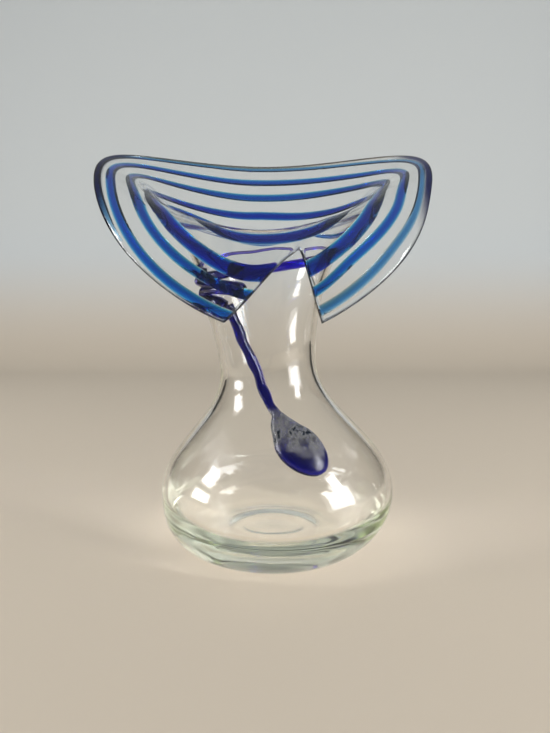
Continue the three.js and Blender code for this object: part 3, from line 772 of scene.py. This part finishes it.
def makeSweep():
    bpy.ops.object.select_all(action="DESELECT")
    bpy.ops.mesh.primitive_plane_add(size=2 * stage["half"],
                                     location=(0, stage["wallBack"] - stage["half"], stage["below"]))
    sweep = bpy.context.object
    sweep.name = "sweep"
    sweep.scale = (stage["wallHalf"] / stage["half"], 1, 1)
    bpy.ops.object.transform_apply(location=True, rotation=True, scale=True)
    selectBackEdges(sweep, False)
    bpy.ops.mesh.extrude_region_move(TRANSFORM_OT_translate={"value": (0, 0, 2 * stage["half"])})
    selectBackEdges(sweep, True)
    bpy.ops.mesh.bevel(offset=stage["cove"], segments=stage["coveSteps"], affect="EDGES")
    bpy.ops.object.mode_set(mode="OBJECT")
    bpy.ops.object.shade_smooth()
    bpy.ops.object.select_all(action="DESELECT")
    bpy.ops.mesh.primitive_plane_add(size=2 * stage["half"],
                                     location=(0, 0, stage["below"] - stage["floorBelow"]))
    floor = bpy.context.object
    floor.name = "floor"
    paint = makeSweepPaint()
    for backdrop in (sweep, floor):
        backdrop.data.materials.append(paint)


# Two matt black cards beside the sweep, out of the picture, draw dark lines at the edges of the clear glass
card = {"hex": "#18181a", "from": 0.15, "to": 1.15, "aside": 0.82, "high": 0.5}


def makeCards():
    material, tree = startMaterial("mattBlackCard")
    surface = addNode(tree, "ShaderNodeBsdfPrincipled", {
        "Base Color": linear(card["hex"]), "Roughness": 0.9})
    addNode(tree, "ShaderNodeOutputMaterial", {"Surface": surface.outputs["BSDF"]})
    for name, side in (("cardLeft", -1), ("cardRight", 1)):
        bpy.ops.object.select_all(action="DESELECT")
        bpy.ops.mesh.primitive_plane_add(
            size=1, location=(side * card["aside"], (card["from"] + card["to"]) / 2, card["high"] / 2),
            rotation=(0, math.pi / 2, 0))
        sheet = bpy.context.object
        sheet.name = name
        sheet.scale = (card["high"], card["to"] - card["from"], 1)
        bpy.ops.object.transform_apply(location=True, rotation=True, scale=True)
        sheet.data.materials.append(material)
        sheet.visible_camera = False
        sheet.visible_diffuse = False
        sheet.visible_shadow = False


# An overcast sky, brighter overhead
sky = {"low": "#b4b4b6", "high": "#f4f6f8", "strength": 0.35, "from": 0.15, "to": 0.95}


def makeSky():
    world = bpy.data.worlds.new("studio")
    bpy.context.scene.world = world
    world.use_nodes = True
    tree = world.node_tree
    place = addNode(tree, "ShaderNodeTexCoord")
    split = addNode(tree, "ShaderNodeSeparateXYZ", {"Vector": place.outputs["Generated"]})
    ramp = addNode(tree, "ShaderNodeMapRange", {
        "Value": split.outputs["Z"], "From Min": sky["from"], "From Max": sky["to"]},
        interpolation_type="SMOOTHSTEP")
    blend = addNode(tree, "ShaderNodeMix", {
        0: ramp.outputs["Result"], 6: linear(sky["low"]), 7: linear(sky["high"])}, data_type="RGBA")
    tree.links.new(blend.outputs[2], tree.nodes["Background"].inputs["Color"])
    tree.nodes["Background"].inputs["Strength"].default_value = sky["strength"]


# Place, width, height and watts of each window. A wider, dimmer veil behind it softens its reflection's edge.
windows = {
    "windowLeftLow": ((-1.34, -0.27, 0.31), 0.4, 0.26, 4.2),
    "windowLeftHigh": ((-1.24, -0.22, 0.82), 0.3, 0.36, 4.2),
    "windowRightLow": ((1.3, -0.66, 0.42), 0.66, 0.66, 10.5),
    "windowRightHigh": ((1.17, -0.53, 0.86), 0.2, 0.42, 4),
}
veil = {"behind": 1.05, "wider": 1.4, "dimmer": 0.45}
windowTarget = (0, 0, 0.08)


def addWindow(name, place, wide, high, watts):
    bpy.ops.object.light_add(type="AREA", location=place)
    light = bpy.context.object
    light.name = name
    light.data.shape = "RECTANGLE"
    light.data.size = wide
    light.data.size_y = high
    light.data.energy = watts
    aim = np.array(windowTarget) - np.array(place)
    light.rotation_euler = (math.atan2(math.hypot(aim[0], aim[1]), -aim[2]), 0, math.atan2(-aim[0], aim[1]))


makeSweep()
makeCards()
makeSky()
for name, (place, wide, high, watts) in windows.items():
    addWindow(name, place, wide, high, watts)
    addWindow(name + "Veil", tuple(veil["behind"] * value for value in place), veil["wider"] * wide,
              veil["wider"] * high, veil["dimmer"] * watts)
print("stage", len(windows), "windows")

camera = {"place": (-0.0013, -0.295, 0.127), "down": 5.9, "lens": 27.01, "near": 0.01}
bpy.ops.object.camera_add(location=camera["place"], rotation=(math.radians(90 - camera["down"]), 0, 0))
eye = bpy.context.object
eye.data.lens = camera["lens"]
eye.data.clip_start = camera["near"]
scene = bpy.context.scene
scene.camera = eye
# Light goes to and fro many times in the thick base before it comes out
glassBounces = 64
scene.cycles.max_bounces = glassBounces
scene.cycles.transmission_bounces = glassBounces
scene.cycles.glossy_bounces = glassBounces
scene.cycles.blur_glossy = 0.1
scene.view_settings.view_transform = "Standard"
